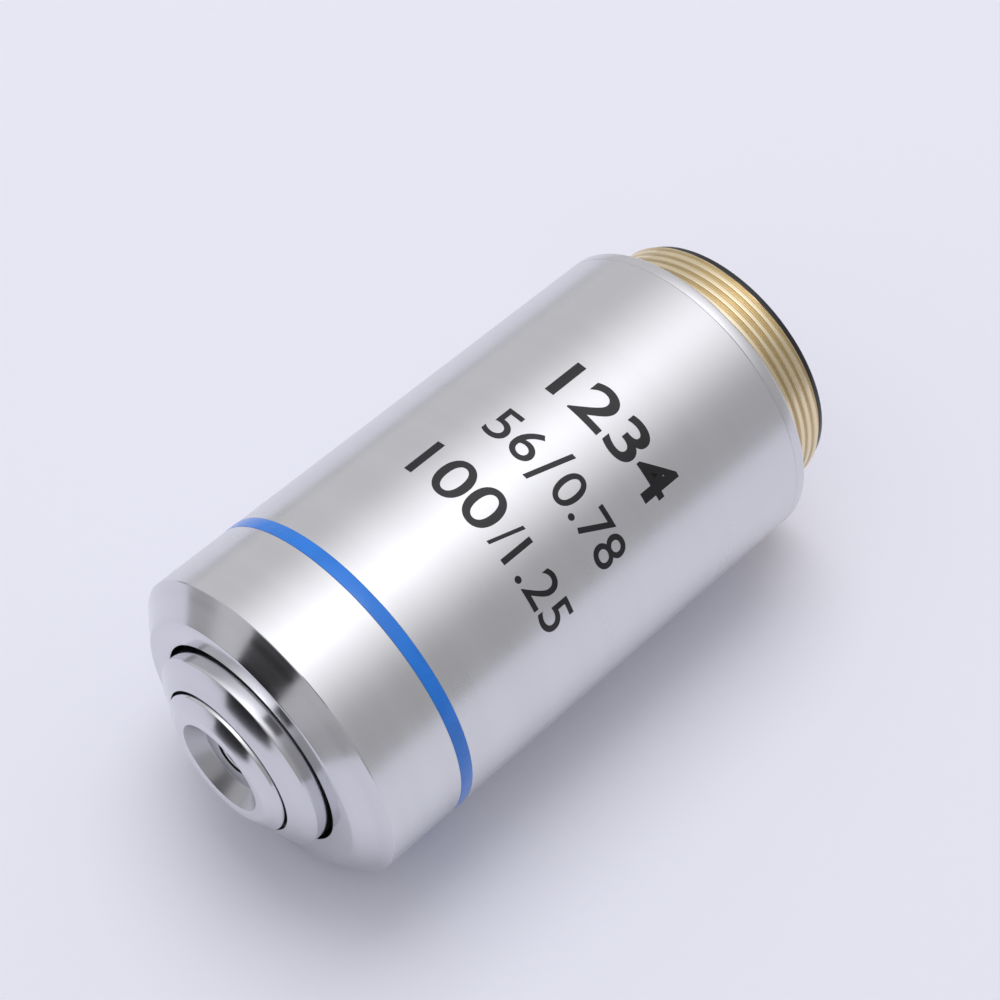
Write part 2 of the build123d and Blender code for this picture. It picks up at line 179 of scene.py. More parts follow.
class ObjectiveFinishes(bpy.types.PropertyGroup):
    """Colours and polish of the objective's finishes."""

    satin_chrome: bpy.props.FloatVectorProperty(
        name="Satin chrome", description="Colour of the barrel", subtype="COLOR",
        default=(0.73, 0.73, 0.745), min=0.0, max=1.0,
    )
    satin_roughness: bpy.props.FloatProperty(
        name="Satin roughness", description="Roughness of the barrel",
        default=0.28, min=0.0, max=1.0, subtype="FACTOR",
    )
    polished_chrome: bpy.props.FloatVectorProperty(
        name="Polished chrome", description="Colour of the cones and the nose", subtype="COLOR",
        default=(0.70, 0.70, 0.73), min=0.0, max=1.0,
    )
    polished_roughness: bpy.props.FloatProperty(
        name="Polished roughness", description="Roughness of the cones and the nose",
        default=0.14, min=0.0, max=1.0, subtype="FACTOR",
    )
    dished_chrome: bpy.props.FloatVectorProperty(
        name="Dished chrome", description="Colour of the recess round the front lens", subtype="COLOR",
        default=(0.5, 0.5, 0.52), min=0.0, max=1.0,
    )
    brass: bpy.props.FloatVectorProperty(
        name="Brass", description="Colour of the bare brass", subtype="COLOR",
        default=(0.84, 0.71, 0.47), min=0.0, max=1.0,
    )
    # Painted shade: the darker brass colour that the thread's roots get in place of their shadow
    tarnished_brass: bpy.props.FloatVectorProperty(
        name="Tarnished brass", description="Colour of the brass in the thread's roots", subtype="COLOR",
        default=(0.6, 0.48, 0.28), min=0.0, max=1.0,
    )
    blue_enamel: bpy.props.FloatVectorProperty(
        name="Blue enamel", description="Colour of the ring in the barrel", subtype="COLOR",
        default=(0.02, 0.22, 0.8), min=0.0, max=1.0,
    )
    black: bpy.props.FloatVectorProperty(
        name="Black", description="Colour of the anodised ring", subtype="COLOR",
        default=(0.008, 0.008, 0.009), min=0.0, max=1.0,
    )
    ink: bpy.props.FloatVectorProperty(
        name="Ink", description="Colour that fills the digits", subtype="COLOR",
        default=(0.003, 0.003, 0.004), min=0.0, max=1.0,
    )


class ObjectiveStudio(bpy.types.PropertyGroup):
    """The sheet, the camera and the light round the objective."""

    sheet_colour: bpy.props.FloatVectorProperty(
        name="Sheet", description="Colour of the pale sheet that the objective lies on", subtype="COLOR",
        default=(0.8, 0.8, 0.885), min=0.0, max=1.0,
    )
    sheet_glow: bpy.props.FloatVectorProperty(
        name="Sheet glow", description="What the sheet adds for the camera and for reflections",
        subtype="COLOR", default=(0.04, 0.04, 0.046), min=0.0, max=1.0,
    )
    backdrop: bpy.props.FloatVectorProperty(
        name="Backdrop", description="Pale colour behind everything", subtype="COLOR",
        default=(0.806, 0.806, 0.896), min=0.0, max=1.0,
    )
    overhead: bpy.props.FloatProperty(
        name="Overhead light", description="Strength of the broad soft light over the sheet",
        default=1.1, min=0.0,
    )
    core: bpy.props.FloatProperty(
        name="Bright core", description="Strength of the small bright middle of the overhead light",
        default=1.2, min=0.0,
    )
    fill: bpy.props.FloatProperty(
        name="Fill", description="Share of the room's light that reaches matt surfaces",
        default=0.68, min=0.0, max=1.0, subtype="FACTOR",
    )
    lamp_power: bpy.props.FloatProperty(
        name="Lamp", description="Power of the lamp over the sheet in watts", default=0.85, min=0.0,
    )
    sheet_reach: bpy.props.FloatProperty(
        name="Sheet reach", description="From the objective to the sheet's far edges",
        default=1.5, min=0.1, unit="LENGTH",
    )
    focal_length: bpy.props.FloatProperty(
        name="Focal length", description="Lens of the camera",
        default=87.26, min=1.0, subtype="DISTANCE_CAMERA",
    )


# Modelling helpers

def only(*objects):
    """Selects these objects and nothing else, the first of them active."""
    bpy.ops.object.select_all(action="DESELECT")
    for one in objects:
        one.select_set(True)
    bpy.context.view_layer.objects.active = objects[0]


def fresh(name):
    """Names the primitive that was just added."""
    made = bpy.context.object
    made.name = name
    made.data.name = name
    return made


def smooth(piece):
    """Smooth shading that keeps the sharp edges, with normals that follow the large faces."""
    only(piece)
    bpy.ops.object.shade_smooth_by_angle(angle=SMOOTH_ANGLE)
    piece.modifiers.new("even normals", "WEIGHTED_NORMAL").keep_sharp = True
    bpy.ops.object.modifier_apply(modifier="even normals")


def turned(name, outline, closed=True, steps=TURN_STEPS):
    """Turns corners of (radius, height, rounding) about the optical axis."""
    bpy.ops.object.select_all(action="DESELECT")
    bpy.ops.mesh.primitive_circle_add(vertices=len(outline), radius=MM)
    piece = fresh(name)
    bpy.ops.object.mode_set(mode="EDIT")
    profile = bmesh.from_edit_mesh(piece.data)
    profile.verts.ensure_lookup_table()
    for vert, (radius, height, _) in zip(profile.verts, outline):
        vert.co = (radius * MM, 0, height * MM)
    if not closed:
        gap = {profile.verts[0], profile.verts[-1]}
        profile.edges.remove(next(edge for edge in profile.edges if set(edge.verts) == gap))
    bmesh.update_edit_mesh(piece.data)
    for rounding in sorted({corner[2] for corner in outline if corner[2]}, reverse=True):
        places = [corner[:2] for corner in outline if corner[2] == rounding]
        bpy.ops.mesh.select_all(action="DESELECT")
        profile = bmesh.from_edit_mesh(piece.data)
        for vert in profile.verts:
            spot = (vert.co.x / MM, vert.co.z / MM)
            vert.select = any(math.dist(spot, place) < 1e-4 for place in places)
        bmesh.update_edit_mesh(piece.data)
        bpy.ops.mesh.bevel(offset=rounding * MM, segments=4, affect="VERTICES")
    bpy.ops.mesh.select_all(action="SELECT")
    bpy.ops.mesh.spin(steps=steps, angle=math.tau, center=(0, 0, 0), axis=(0, 0, 1))
    bpy.ops.mesh.select_all(action="SELECT")
    bpy.ops.mesh.remove_doubles(threshold=MERGE)
    bpy.ops.mesh.normals_make_consistent(inside=False)
    bpy.ops.object.mode_set(mode="OBJECT")
    smooth(piece)
    return piece


def cut(piece, cutter):
    """Takes the cutter's shape out of the piece."""
    only(piece)
    tool = piece.modifiers.new("cut", "BOOLEAN")
    tool.operation = "DIFFERENCE"
    tool.solver = "EXACT"
    tool.object = cutter
    bpy.ops.object.modifier_apply(modifier="cut")
    bpy.data.objects.remove(cutter)
    smooth(piece)


def block(size, centre):
    """A block for cutting, in millimetres."""
    bpy.ops.object.select_all(action="DESELECT")
    bpy.ops.mesh.primitive_cube_add(size=1, location=[place * MM for place in centre])
    made = fresh("cutter")
    made.scale = [side * MM for side in size]
    bpy.ops.object.transform_apply(location=True, rotation=True, scale=True)
    return made


def place(piece, body, slot, *nodes):
    """Parents the piece to what it rides on and hides the CAD nodes that it stands for; the finish that it
    is given is not used.
    """
    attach(piece, body)
    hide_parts(*nodes)
    return piece


def coat(piece, *materials):
    """Gives the piece its materials in order."""
    piece.data.materials.clear()
    for one in materials:
        piece.data.materials.append(one)


# Node helpers

def node(tree, kind, inputs=None, **settings):
    """Adds a node, with its settings, and its inputs set or linked by name or number."""
    made = tree.nodes.new(kind)
    for name, value in settings.items():
        setattr(made, name, value)
    for key, value in (inputs or {}).items():
        if isinstance(value, bpy.types.NodeSocket):
            tree.links.new(value, made.inputs[key])
        else:
            made.inputs[key].default_value = value
    return made


def calc(tree, operation, *values):
    """The result of a Math node."""
    return node(tree, "ShaderNodeMath", dict(enumerate(values)), operation=operation).outputs[0]


def spread(tree, value, low, high, start=0.0, end=1.0, kind="LINEAR"):
    """Maps a value from start..end to low..high."""
    return node(
        tree, "ShaderNodeMapRange",
        {"Value": value, "From Min": start, "From Max": end, "To Min": low, "To Max": high},
        interpolation_type=kind,
    ).outputs["Result"]


def blend_colours(tree, factor, first, second):
    """A colour between two colours."""
    made = node(tree, "ShaderNodeMix", {0: factor}, data_type="RGBA")
    for index, colour in ((6, first), (7, second)):
        if isinstance(colour, bpy.types.NodeSocket):
            tree.links.new(colour, made.inputs[index])
        else:
            made.inputs[index].default_value = (*colour[:3], 1.0)
    return made.outputs[2]


def new_group(name, inputs, outputs):
    """An empty node group with named number sockets, and its two ends."""
    group = bpy.data.node_groups.new(name, "ShaderNodeTree")
    for socket in inputs:
        group.interface.new_socket(name=socket, in_out="INPUT", socket_type="NodeSocketFloat")
    for socket in outputs:
        group.interface.new_socket(name=socket, in_out="OUTPUT", socket_type="NodeSocketFloat")
    return group, group.nodes.new("NodeGroupInput"), group.nodes.new("NodeGroupOutput")


def axis_place(tree):
    """The distance from the optical axis, the height and the direction round the axis."""
    spot = node(tree, "ShaderNodeTexCoord").outputs["Object"]
    flat = node(tree, "ShaderNodeVectorMath", {0: spot, 1: (1, 1, 0)}, operation="MULTIPLY").outputs[0]
    radius = node(tree, "ShaderNodeVectorMath", {0: flat}, operation="LENGTH").outputs["Value"]
    height = node(tree, "ShaderNodeSeparateXYZ", {0: spot}).outputs["Z"]
    round_axis = node(tree, "ShaderNodeVectorMath", {0: flat}, operation="NORMALIZE").outputs[0]
    return radius, height, round_axis


def turning_marks():
    """Rings that the lathe leaves, as a height, and a slow change of tone along the piece."""
    group, start, end = new_group("turning_marks", ["Rings per mm", "Wander"], ["Height", "Tone"])
    radius, height, round_axis = axis_place(group)
    scale = calc(group, "MULTIPLY", start.outputs["Rings per mm"], 1 / MM)
    across = calc(group, "MULTIPLY", radius, scale)
    along = calc(group, "MULTIPLY", height, scale)
    around = node(
        group, "ShaderNodeVectorMath", {0: round_axis, "Scale": start.outputs["Wander"]}, operation="SCALE",
    ).outputs[0]
    lift = node(group, "ShaderNodeCombineXYZ", {"Z": across}).outputs[0]
    spot = node(group, "ShaderNodeVectorMath", {0: around, 1: lift}, operation="ADD").outputs[0]
    fine = node(
        group, "ShaderNodeTexNoise", {"Vector": spot, "W": along, "Scale": 1.0, "Detail": 2.0},
        noise_dimensions="4D",
    ).outputs[0]
    slow = node(
        group, "ShaderNodeTexNoise", {"Vector": spot, "W": along, "Scale": 0.07, "Detail": 3.0},
        noise_dimensions="4D",
    ).outputs[0]
    group.links.new(fine, end.inputs["Height"])
    group.links.new(slow, end.inputs["Tone"])
    return group


def handling_marks():
    """Faint smudges and dust from handling, as a mask."""
    group, start, end = new_group("handling_marks", ["Patches per mm", "Sharpness"], ["Mask"])
    spot = node(group, "ShaderNodeTexCoord").outputs["Object"]
    scale = calc(group, "MULTIPLY", start.outputs["Patches per mm"], 1 / MM)
    blots = node(
        group, "ShaderNodeTexNoise", {"Vector": spot, "Scale": scale, "Detail": 5.0, "Distortion": 0.6},
    ).outputs[0]
    half = calc(group, "DIVIDE", 0.5, start.outputs["Sharpness"])
    low = calc(group, "SUBTRACT", 0.5, half)
    high = calc(group, "ADD", 0.5, half)
    mask = node(group, "ShaderNodeMapRange", {"Value": blots, "From Min": low, "From Max": high})
    group.links.new(mask.outputs["Result"], end.inputs["Mask"])
    return group


def use_group(tree, maker, **values):
    """Places a shared effect in a material with its own values."""
    group = bpy.data.node_groups.get(maker.__name__) or maker()
    made = node(tree, "ShaderNodeGroup", node_tree=group)
    for name, value in values.items():
        made.inputs[name.replace("_", " ")].default_value = value
    return made


def new_material(name, **values):
    """A material, its tree and its shader, with plain values on the shader's sockets."""
    made = bpy.data.materials.new(name)
    made.use_nodes = True
    tree = made.node_tree
    shader = tree.nodes["Principled BSDF"]
    for key, value in values.items():
        shader.inputs[key.replace("_", " ")].default_value = value
    return made, tree, shader


def turned_metal(name, colour, roughness, rings=9.0, relief=0.25, uneven=0.04, dim=0.93, drawn=0.0):
    """A turned metal with lathe rings, uneven polish and faint smudges.

    rings are per millimetre and relief is in thousandths of one; dim is the tone of the duller rings,
    and drawn is how far the rings stretch a reflection along the axis.
    """
    if name in bpy.data.materials:
        return bpy.data.materials[name]
    made, tree, shader = new_material(name, Metallic=1.0, Anisotropic=drawn, Anisotropic_Rotation=0.25)
    if drawn:
        along = node(tree, "ShaderNodeTangent", direction_type="RADIAL", axis="Z")
        tree.links.new(along.outputs[0], shader.inputs["Tangent"])
    marks = use_group(tree, turning_marks, Rings_per_mm=rings, Wander=0.5)
    smudges = use_group(tree, handling_marks, Patches_per_mm=0.22, Sharpness=3.0)
    tone = spread(tree, marks.outputs["Tone"], 0.0, 1.0, 0.3, 0.7)
    dull = tuple(channel * dim for channel in colour)
    tree.links.new(blend_colours(tree, tone, dull, colour), shader.inputs["Base Color"])
    lathe = spread(tree, marks.outputs["Tone"], roughness - uneven, roughness + uneven, 0.3, 0.7)
    touch = calc(tree, "MULTIPLY", smudges.outputs["Mask"], uneven)
    tree.links.new(calc(tree, "ADD", lathe, touch), shader.inputs["Roughness"])
    bump = node(
        tree, "ShaderNodeBump",
        {"Height": marks.outputs["Height"], "Strength": 1.0, "Distance": relief / 1000 * MM},
    )
    tree.links.new(bump.outputs[0], shader.inputs["Normal"])
    return made


def thread_brass(finishes, crest, root):
    """Bare brass on the crests, with painted shade that darkens it towards the thread's roots."""
    made, tree, shader = new_material("cut_thread_brass", Metallic=1.0)
    marks = use_group(tree, turning_marks, Rings_per_mm=14.0, Wander=0.8)
    smudges = use_group(tree, handling_marks, Patches_per_mm=0.6, Sharpness=2.5)
    radius, _, _ = axis_place(tree)
    # Painted shade: the brass darkens from the crests into the roots, a little unevenly, and grows rougher
    # there
    depth = spread(tree, radius, 1.0, 0.0, root * MM, crest * MM)
    root_shade = calc(tree, "MULTIPLY", depth, spread(tree, smudges.outputs["Mask"], 0.75, 1.0))
    tree.links.new(
        blend_colours(tree, root_shade, finishes.brass, finishes.tarnished_brass), shader.inputs["Base Color"],
    )
    tree.links.new(spread(tree, root_shade, 0.22, 0.38), shader.inputs["Roughness"])
    bump = node(
        tree, "ShaderNodeBump",
        {"Height": marks.outputs["Height"], "Strength": 1.0, "Distance": 0.0015 * MM},
    )
    tree.links.new(bump.outputs[0], shader.inputs["Normal"])
    return made


def black_finish(name, colour, roughness, grain=2.0, relief=0.002):
    """A black skin with a fine grain and slightly worn, uneven gloss."""
    if name in bpy.data.materials:
        return bpy.data.materials[name]
    made, tree, shader = new_material(name)
    grains = use_group(tree, handling_marks, Patches_per_mm=grain, Sharpness=1.5)
    smudges = use_group(tree, handling_marks, Patches_per_mm=0.3, Sharpness=2.5)
    worn = tuple(channel * 1.6 + 0.002 for channel in colour)
    tree.links.new(
        blend_colours(tree, smudges.outputs["Mask"], colour, worn), shader.inputs["Base Color"],
    )
    gloss = spread(tree, smudges.outputs["Mask"], roughness - 0.05, roughness + 0.07)
    tree.links.new(gloss, shader.inputs["Roughness"])
    bump = node(
        tree, "ShaderNodeBump",
        {"Height": grains.outputs["Mask"], "Strength": 0.6, "Distance": relief * MM},
    )
    tree.links.new(bump.outputs[0], shader.inputs["Normal"])
    return made


def matt_black():
    """The matt black of the cells and rings that the light passes."""
    return black_finish("matt_black_brass", (0.022, 0.021, 0.02), 0.5, grain=3.0)


def enamel(finishes):
    """Blue enamel under a clear skin, a little uneven as it flowed into the groove."""
    made, tree, shader = new_material(
        "ring_enamel", Specular_IOR_Level=0.25, Coat_Weight=0.4, Coat_Roughness=0.12, Coat_IOR=1.5,
    )
    flow = use_group(tree, handling_marks, Patches_per_mm=0.5, Sharpness=1.5)
    deep = tuple(channel * 0.8 for channel in finishes.blue_enamel)
    tree.links.new(
        blend_colours(tree, flow.outputs["Mask"], deep, finishes.blue_enamel), shader.inputs["Base Color"],
    )
    tree.links.new(spread(tree, flow.outputs["Mask"], 0.24, 0.32), shader.inputs["Roughness"])
    bump = node(
        tree, "ShaderNodeBump",
        {"Height": flow.outputs["Mask"], "Strength": 0.5, "Distance": 0.004 * MM},
    )
    tree.links.new(bump.outputs[0], shader.inputs["Normal"])
    return made


def optical_glass():
    """Polished, coated glass with a trace of dust."""
    if "coated_glass" in bpy.data.materials:
        return bpy.data.materials["coated_glass"]
    made, tree, shader = new_material(
        "coated_glass", Metallic=0.0, Transmission_Weight=1.0, IOR=1.52,
    )
    dust = use_group(tree, handling_marks, Patches_per_mm=1.2, Sharpness=6.0)
    tree.links.new(
        blend_colours(tree, dust.outputs["Mask"], (0.93, 0.97, 0.95), (0.9, 0.94, 0.95)),
        shader.inputs["Base Color"],
    )
    tree.links.new(spread(tree, dust.outputs["Mask"], 0.0, 0.03), shader.inputs["Roughness"])
    return made


def chrome(finishes):
    """Satin chrome of the barrel, with lathe rings that stretch its reflections along the axis."""
    return turned_metal(
        "turned_satin_chrome", tuple(finishes.satin_chrome), finishes.satin_roughness, rings=6.0,
        relief=0.2, uneven=0.025, dim=0.95, drawn=0.5,
    )


def bright_chrome(finishes):
    """Polished chrome of the cones and the nose."""
    return turned_metal(
        "turned_bright_chrome", tuple(finishes.polished_chrome), finishes.polished_roughness, rings=12.0,
        relief=0.35, uneven=0.03, drawn=0.2,
    )


# Pieces

def cut_thread(piece, sizes, rear, crest, lead):
    """Sinks the plain wall of the thread into right-handed turns, a relief and a lead-in."""
    pitch, depth = sizes.thread_pitch / MM, sizes.thread_depth / MM
    flank = 1 - sizes.thread_crest - sizes.thread_root
    for vert in piece.data.vertices:
        radius, height = math.hypot(vert.co.x, vert.co.y) / MM, vert.co.z / MM
        if abs(radius - crest) > 0.005 or height > 0.001:
            continue
        angle = math.atan2(vert.co.y, vert.co.x)
        turn = (height / pitch - angle / math.tau) % 1
        sunk = min(max((abs(1 - 2 * turn) - sizes.thread_crest) / flank, 0), 1)
        sunk = sunk * sunk * (3 - 2 * sunk) * 0.5 + sunk * 0.5      # takes the hardness off the edges
        away = -height / (sizes.thread_relief / MM)
        sunk = max(sunk, 1 - min(max(3 * away - 2, 0), 1))
        new = min(crest - depth * sunk, lead + height - rear)
        vert.co.x *= new / radius
        vert.co.y *= new / radius
    piece.data.update()
    smooth(piece)


class OBJECTIVE_OT_thread_body(bpy.types.Operator):
    """Turn the brass body, cut its thread and chrome its flange"""

    bl_idname = "objective.thread_body"
    bl_label = "Thread body"

    def execute(self, context):
        sizes = context.scene.objective_sizes
        finishes = context.scene.objective_finishes
        rear, front = heights("mount_body")
        seam, barrel = heights("barrel_sleeve")[0], outer("barrel_sleeve")
        seat = heights("spring_seat_ring")[0]
        bore, lead = radii("mount_body", rear)
        crest, flange = radii("mount_body", 0)
        guide, body = radii("mount_body", front)
        levels = sorted({
            round(z, 2) for r, z in corners_of("mount_body") if seam + 1 < z < front - 1 and r > guide + 1
        })
        relief = radii("mount_body", levels[1])[-1]
        rows = math.ceil(-rear / THREAD_ROW)
        wall = [(crest, rear * (1 - row / rows), 0) for row in range(rows + 1)]
        edge = sizes.edge_round / MM
        piece = turned("thread_body", [
            (bore, rear, 0), *wall,
            (barrel, 0, barrel - flange), (barrel, seam, sizes.seam_round / MM), (body, seam, 0),
            (body, levels[0], 0), (relief, levels[1], 0), (relief, levels[-2], 0), (body, levels[-1], 0),
            (body, front, edge), (guide, front, edge), (guide, seat, 0), (bore, seat, 0),
        ])
        low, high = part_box("guide_screw")
        bpy.ops.object.select_all(action="DESELECT")
        bpy.ops.mesh.primitive_cylinder_add(
            vertices=48, radius=(high.y - low.y) / 2 + SCREW_GAP * MM, depth=4 * MM,
            location=(body * MM, 0, (low.z + high.z) / 2), rotation=(0, math.pi / 2, 0),
        )
        cutter = fresh("cutter")
        bpy.ops.object.transform_apply(location=True, rotation=True, scale=True)
        cut(piece, cutter)
        depth = sizes.thread_depth / MM
        cut_thread(piece, sizes, rear, crest, lead)
        coat(piece, thread_brass(finishes, crest, crest - depth), chrome(finishes))
        for face in piece.data.polygons:
            middle = face.center
            outside = math.hypot(middle.x, middle.y) / MM > crest + 0.01
            face.material_index = int(outside and -0.01 < middle.z / MM < seam + 0.01)
        place(piece, "barrel", "thread_brass", "mount_body")
        return {"FINISHED"}


class OBJECTIVE_OT_end_ring(bpy.types.Operator):
    """Turn the black ring in the thread's end and cut its two spanner notches"""

    bl_idname = "objective.end_ring"
    bl_label = "End ring"

    def execute(self, context):
        sizes = context.scene.objective_sizes
        rear, front = heights("end_ring")
        step = heights("mount_body")[0]
        bore, spigot = radii("end_ring", front)
        wide = outer("end_ring")
        edge = sizes.edge_round / MM
        piece = turned("black_end_ring", [
            (bore, rear, 2 * edge), (wide, rear, 2 * edge), (wide, step, sizes.seam_round / MM),
            (spigot, step, 0), (spigot, front, edge), (bore, front, edge),
        ])
        width, depth, land = (sizes.notch_width / MM, sizes.notch_depth / MM, sizes.notch_land / MM)
        cut(piece, block((2 * (wide - land), width, 2 * depth), (0, 0, rear)))
        coat(piece, black_finish("end_ring_black", tuple(context.scene.objective_finishes.black), 0.2))
        place(piece, "barrel", "black_anodised", "end_ring")
        return {"FINISHED"}


class OBJECTIVE_OT_barrel(bpy.types.Operator):
    """Turn the satin sleeve and the front cap with its polished cone"""

    bl_idname = "objective.barrel"
    bl_label = "Barrel"

    def execute(self, context):
        sizes = context.scene.objective_sizes
        finishes = context.scene.objective_finishes
        edge, cone, seam = (sizes.edge_round / MM, sizes.cone_round / MM, sizes.seam_round / MM)
        rear, front = heights("barrel_sleeve")
        wide = outer("barrel_sleeve")
        bore = radii("barrel_sleeve", rear)[0]
        sleeve = turned("satin_sleeve", [
            (bore, rear, 0), (wide, rear, seam), (wide, front, seam), (bore, front, 0),
        ])
        coat(sleeve, chrome(finishes))
        place(sleeve, "barrel", "satin_chrome", "barrel_sleeve")

        step = heights("colour_ring")[1]
        face = heights("front_cap")[1]
        groove = radii("front_cap", front)[-1]
        hole, lip = radii("front_cap", face)
        places = corners_of("front_cap")
        inside = min(z for r, z in places if r < hole + 0.05)
        room = min(z for r, z in places if bore - 2 < r < bore - 0.5)
        room_radius = radii("front_cap", inside)[-1]
        shoulder = max(z for r, z in places if r > wide - 0.05)
        cap = turned("front_cap_turned", [
            (bore, front, 0), (groove, front, 0), (groove, step, 0), (wide, step, seam),
            (wide, shoulder, cone), (lip, face, cone), (hole, face, 2 * edge), (hole, inside, edge),
            (room_radius, inside, 0), (room_radius, room, 0), (bore, room, 0),
        ])
        coat(cap, chrome(finishes), bright_chrome(finishes))
        for polygon in cap.data.polygons:
            polygon.material_index = int(polygon.center.z / MM > shoulder - cone / 2)
        place(cap, "barrel", "satin_chrome", "front_cap")
        return {"FINISHED"}


class OBJECTIVE_OT_colour_ring(bpy.types.Operator):
    """Fill the groove behind the cap with the crowned blue ring"""

    bl_idname = "objective.colour_ring"
    bl_label = "Colour ring"

    def execute(self, context):
        rear, front = heights("colour_ring")
        floor = radii("colour_ring", rear)[0]
        wide, crown = outer("barrel_sleeve"), outer("colour_ring") - outer("barrel_sleeve")
        middle, half = (rear + front) / 2, (front - rear) / 2
        rise = [2 * index / (CROWN_POINTS - 1) - 1 for index in range(CROWN_POINTS)]
        bulge = [(wide + crown * (1 - place * place), middle + half * place, 0) for place in rise]
        piece = turned("blue_ring", [(floor, rear, 0), *bulge, (floor, front, 0)])
        coat(piece, enamel(context.scene.objective_finishes))
        place(piece, "barrel", "blue_enamel", "colour_ring")
        return {"FINISHED"}


class OBJECTIVE_OT_nose(bpy.types.Operator):
    """Turn the polished nose and the dished front cell"""

    bl_idname = "objective.nose"
    bl_label = "Nose"

    def execute(self, context):
        sizes = context.scene.objective_sizes
        finishes = context.scene.objective_finishes
        edge, cone = sizes.edge_round / MM, sizes.cone_round / MM
        skirt, mouth_height = heights("nose_cap")
        wide = outer("nose_cap")
        inner = radii("nose_cap", skirt)[0]
        mouth = radii("nose_cap", mouth_height)[0]
        places = corners_of("nose_cap")
        shoulder = max(z for r, z in places if abs(r - inner) < 0.02)
        cheek = max(z for r, z in places if r > wide - 0.05)
        nose = turned("nose_cap_turned", [
            (inner, skirt, edge), (wide, skirt, edge), (wide, cheek, cone), (mouth, mouth_height, edge),
            (mouth, shoulder, edge), (inner, shoulder, 0),
        ])
        coat(nose, bright_chrome(finishes))
        place(nose, "lens_unit", "polished_chrome", "nose_cap")

        base, rim = heights("front_cell")
        wide = outer("front_cell")
        places = corners_of("front_cell")
        dish, lip = radii("front_cell", rim)
        neck = radii("front_cell", shoulder)[0]
        collar = max(z for r, z in places if abs(r - neck) < 0.02)
        cavity = radii("front_cell", base)[0]
        opening = min(r for r, z in places if z > collar - 1)
        floor = max(z for r, z in places if abs(r - opening) < 0.01)
        dish_foot = max(radius for radius in radii("front_cell", floor) if radius < dish)
        ball_height = heights("front_lens")[0] + outer("front_lens")
        ball = radii("front_cell", ball_height)[0]
        lifts = [math.acos(opening / ball) * (1 - index / ARC_POINTS) for index in range(ARC_POINTS + 1)]
        seat = [(ball * math.cos(lift), ball_height + ball * math.sin(lift), 0) for lift in lifts]
        bottom = min(z for r, z in places if abs(r - ball) < 0.01)
        cell = turned("front_cell_turned", [
            (opening, floor, 0.02), *seat, (ball, bottom, 0), (cavity, base, 0), (wide, base, edge),
            (wide, shoulder, 0), (neck, shoulder, 0), (neck, collar, edge), (lip, rim, edge),
            (dish, rim, edge), (dish_foot, floor, 2 * edge),
        ])
        dull = turned_metal(
            "dished_chrome", tuple(finishes.dished_chrome), 0.3, rings=5.0, relief=1.2, uneven=0.06,
        )
        coat(cell, bright_chrome(finishes), dull, matt_black())
        for face in cell.data.polygons:
            radius = math.hypot(face.center.x, face.center.y) / MM
            height = face.center.z / MM
            if radius < dish and height > floor - 0.01:
                face.material_index = 1
            elif radius < ball + 0.1 or height < shoulder - 0.1:
                face.material_index = 2
        place(cell, "lens_unit", "polished_chrome", "front_cell")
        return {"FINISHED"}


def lens_surface(vertex, edge_height, radius):
    """Points of a spherical surface from the axis to the edge."""
    depth = vertex - edge_height
    curve = (radius ** 2 + depth ** 2) / (2 * abs(depth))
    points = []
    for index in range(ARC_POINTS + 1):
        out = radius * index / ARC_POINTS
        points.append((out, vertex - math.copysign(curve - math.sqrt(curve ** 2 - out ** 2), depth), 0))
    return points


class OBJECTIVE_OT_lenses(bpy.types.Operator):
    """Grind the front lens and the seven lenses behind it"""

    bl_idname = "objective.lenses"
    bl_label = "Lenses"

    def execute(self, context):
        low, face = heights("front_lens")
        ball = outer("front_lens")
        centre = low + ball
        top = math.asin((face - centre) / ball)
        turns = [top - (top + math.pi / 2) * index / (2 * ARC_POINTS) for index in range(2 * ARC_POINTS)]
        arc = [(ball * math.cos(turn), centre + ball * math.sin(turn), 0) for turn in turns]
        outline = [(0, face, 0), *arc, (0, low, 0)]
        front = turned("front_lens_ground", outline, closed=False, steps=LENS_STEPS)
        coat(front, optical_glass())
        place(front, "lens_unit", "optical_glass", "front_lens")
        for name in (
            "meniscus_lens", "front_doublet_crown", "front_doublet_flint", "middle_doublet_flint",
            "middle_doublet_crown", "rear_doublet_flint", "rear_doublet_crown",
        ):
            radius = outer(name)
            places = corners_of(name)
            middle = [z for r, z in places if r < 0.01]
            rim = [z for r, z in places if r > radius - 0.005]
            ahead = lens_surface(max(middle), max(rim), radius)
            behind = lens_surface(min(middle), min(rim), radius)
            lens = turned(name + "_ground", ahead + behind[::-1], closed=False, steps=LENS_STEPS)
            coat(lens, optical_glass())
            place(lens, "lens_unit", "optical_glass", name)
        return {"FINISHED"}


